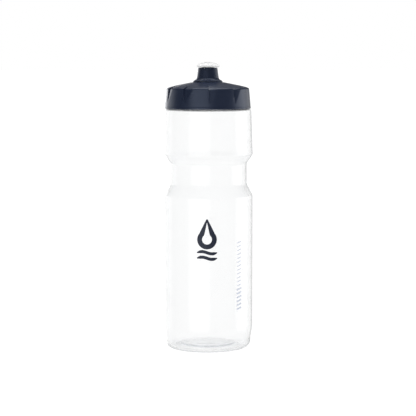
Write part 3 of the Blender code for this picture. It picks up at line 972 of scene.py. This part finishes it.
def front_mark(material):
    """A generic mark in place of the maker's: a falling drop over two ripples."""
    builder = bmesh.new()
    middle = Vector((MARK_X, MARK_Z))
    belly = arc_line(middle, DROP_RADIUS, -90, DROP_SHOULDER, 18)
    tip = Vector((middle.x, middle.y + DROP_TIP))
    right = belly + [belly[-1].lerp(tip, share / 10) for share in range(1, 11)]
    left = [Vector((2 * middle.x - p.x, p.y)) for p in right]
    drop = list(reversed(left)) + right[1:]
    stroke(builder, drop, tapered(len(drop), DROP_WIDTH, DROP_ENDS))
    for level in RIPPLE_Z:
        wave = []
        for step in range(RIPPLE_STEPS + 1):
            share = step / RIPPLE_STEPS
            across = middle.x - RIPPLE_REACH + 2 * RIPPLE_REACH * share
            rise = RIPPLE_RISE * math.sin(math.tau * share)
            wave.append(Vector((across, level + rise)))
        stroke(builder, wave, tapered(len(wave), RIPPLE_WIDTH, RIPPLE_ENDS))
    mark = finish_mesh("front_mark", builder, material)
    return place(mark, "bottle", slot="cap_shell")


def level_scale(material):
    """A plain scale of unnumbered slanted ticks up the right-hand side, bolder low down."""
    builder = bmesh.new()
    middle = BODY_RADIUS * SCALE_ANGLE
    for tick in range(SCALE_TICKS):
        z = SCALE_LOW_Z + tick * SCALE_PITCH
        half, width = BOLD_TICK if tick < SCALE_TICKS // 3 else FINE_TICK
        line = []
        for step in range(-3, 4):
            across = middle + half * step / 3
            line.append(Vector((across, z + half * SCALE_SLANT * step / 3)))
        stroke(builder, line, [width] * len(line))
    scale = finish_mesh("level_scale", builder, material)
    return place(scale, "bottle", slot="cap_shell")


# ----------------------------------------------------------------- stage


def floor(material):
    """A pale sheet that runs on to the horizon."""
    bpy.ops.mesh.primitive_plane_add(size=FLOOR_SIZE)
    sheet = bpy.context.object
    sheet.name = "floor_sheet"
    sheet.data.materials.append(material)
    sheet.location.z = -FLOOR_GAP
    sheet.visible_glossy = False


class World:
    """Short calls for a world's nodes."""

    def __init__(self, name):
        self.world = bpy.data.worlds.new(name)
        self.world.use_nodes = True
        self.tree = self.world.node_tree

    def add(self, kind, *inputs, **settings):
        """A node with its inputs in order, as sockets or as values. None leaves one alone."""
        node = self.tree.nodes.new(kind)
        for setting, value in settings.items():
            setattr(node, setting, value)
        for index, value in enumerate(inputs):
            if isinstance(value, bpy.types.NodeSocket):
                self.tree.links.new(value, node.inputs[index])
            elif value is not None:
                node.inputs[index].default_value = value
        return node.outputs

    def maths(self, operation, *inputs):
        """A Math node's result."""
        return self.add("ShaderNodeMath", *inputs, operation=operation)[0]

    def ranged(self, value, start, end, low, high):
        """A value from start..end mapped smoothly to low..high."""
        inputs = (value, start, end, low, high)
        return self.add("ShaderNodeMapRange", *inputs, interpolation_type="SMOOTHSTEP")[0]

    def colour_mix(self, share, first, second):
        """A mix of two colours. The node's five inputs between share and colours are of other types."""
        skipped = (None,) * 5
        return self.add("ShaderNodeMix", share, *skipped, first, second, data_type="RGBA")[2]


def mirrored_panels(w, x, y, z):
    """What glossy surfaces mirror: panels round the object, under a dim ceiling with a bright
    overhead and over a white floor."""
    around = w.maths("ARCTAN2", x, w.maths("MULTIPLY", y, -1.0))
    share = w.add("ShaderNodeMapRange", around, -math.pi, math.pi, 0.0, 1.0)[0]
    ramp_outputs = w.add("ShaderNodeValToRGB", share)
    ramp = ramp_outputs[0].node.color_ramp
    ramp.interpolation = "EASE"
    for index, (degrees, level) in enumerate(PANELS):
        position = degrees / 360 + 0.5
        element = ramp.elements[index] if index < 2 else ramp.elements.new(position)
        element.position = position
        element.color = (level / PANEL_PEAK, level / PANEL_PEAK, level / PANEL_PEAK, 1.0)
    panels = w.maths("MULTIPLY", ramp_outputs[0], PANEL_PEAK)
    low = w.ranged(z, math.sin(PANEL_TOP), math.sin(PANEL_TOP + PANEL_TOP_FADE), 1.0, 0.0)
    behind = w.ranged(y, *BEHIND, 0.0, BACK_GLOW)
    ceiling = w.maths("MULTIPLY_ADD", behind, w.ranged(z, *CEILING_RISE, 0.0, 1.0), CEILING_GLOW)
    edge_low, edge_high = OVERHEAD_EDGE
    overhead = w.ranged(z, math.sin(edge_low), math.sin(edge_high), 0.0, OVERHEAD)
    above = w.maths("ADD", ceiling, overhead)
    lit = w.maths("ADD", w.maths("MULTIPLY", panels, low), above)
    ground = w.ranged(z, math.sin(PANEL_FOOT), math.sin(PANEL_FOOT - PANEL_FADE), 0.0, 1.0)
    return w.add("ShaderNodeMix", ground, None, lit, 1.0)[0]


def world():
    """A pale room. It is white to the camera, nearly white through the bottle with a dim bluish
    sky, lights the object softly, more from the sides than from above, and is mirrored as
    panels."""
    w = World("studio")
    direction = w.add("ShaderNodeTexCoord")["Generated"]
    x, y, z = w.add("ShaderNodeSeparateXYZ", direction)
    mirrored = mirrored_panels(w, x, y, z)
    filling = w.ranged(z, 0.0, 1.0, *FILL_LEVELS)
    path = w.add("ShaderNodeLightPath")
    filled = w.add("ShaderNodeMix", path["Is Diffuse Ray"], None, mirrored, filling)[0]
    through = w.ranged(z, *DIM_SKY_RISE, BACKDROP_LEVEL, DIM_SKY_LEVEL)
    passed = w.add("ShaderNodeMix", path["Is Transmission Ray"], None, filled, through)[0]
    strength = w.add("ShaderNodeMix", path["Is Camera Ray"], None, passed, 1.0)[0]
    background = w.tree.nodes["Background"]
    dim = w.maths("MULTIPLY", path["Is Transmission Ray"], w.ranged(z, *DIM_SKY_RISE, 0.0, 1.0))
    w.tree.links.new(w.colour_mix(dim, WHITE, DIM_SKY_TINT), background.inputs["Color"])
    w.tree.links.new(strength, background.inputs["Strength"])
    bpy.context.scene.world = w.world


def lights():
    """A broad overhead that glossy surfaces don't mirror."""
    sun = bpy.data.lights.new("overhead", "SUN")
    sun.energy = SUN_ENERGY
    sun.angle = SUN_ANGLE
    made = bpy.data.objects.new("overhead", sun)
    made.visible_glossy = False
    bpy.context.scene.collection.objects.link(made)


def camera():
    """A long lens a little above the cap, looking slightly down."""
    data = bpy.data.cameras.new("camera")
    data.lens = LENS
    data.sensor_width = SENSOR_WIDTH
    data.clip_end = 50
    made = bpy.data.objects.new("camera", data)
    made.location = CAMERA_PLACE
    made.rotation_euler = (math.radians(90 - CAMERA_DIP), 0, 0)
    bpy.context.scene.collection.objects.link(made)
    bpy.context.scene.camera = made


def main():
    """Builds every piece, then the stage."""
    camera()
    navy = cap_plastic()
    rubber = seal_rubber()
    bottle_body(translucent_wall())
    cap_shell(navy)
    cap_gasket(rubber)
    stopper_post(navy)
    nozzle_sleeve(white_plastic())
    nozzle_o_ring(rubber)
    mouthpiece(soft_tip())
    front_mark(ink("navy_ink", (0.008, 0.012, 0.025)))
    level_scale(ink("grey_ink", (0.54, 0.57, 0.64)))
    floor(floor_paint())
    world()
    lights()
    scene = bpy.context.scene
    scene.view_settings.view_transform = "Standard"
    scene.cycles.max_bounces = 32
    scene.cycles.transmission_bounces = 32
    scene.cycles.glossy_bounces = 24
    scene.cycles.diffuse_bounces = 8


main()
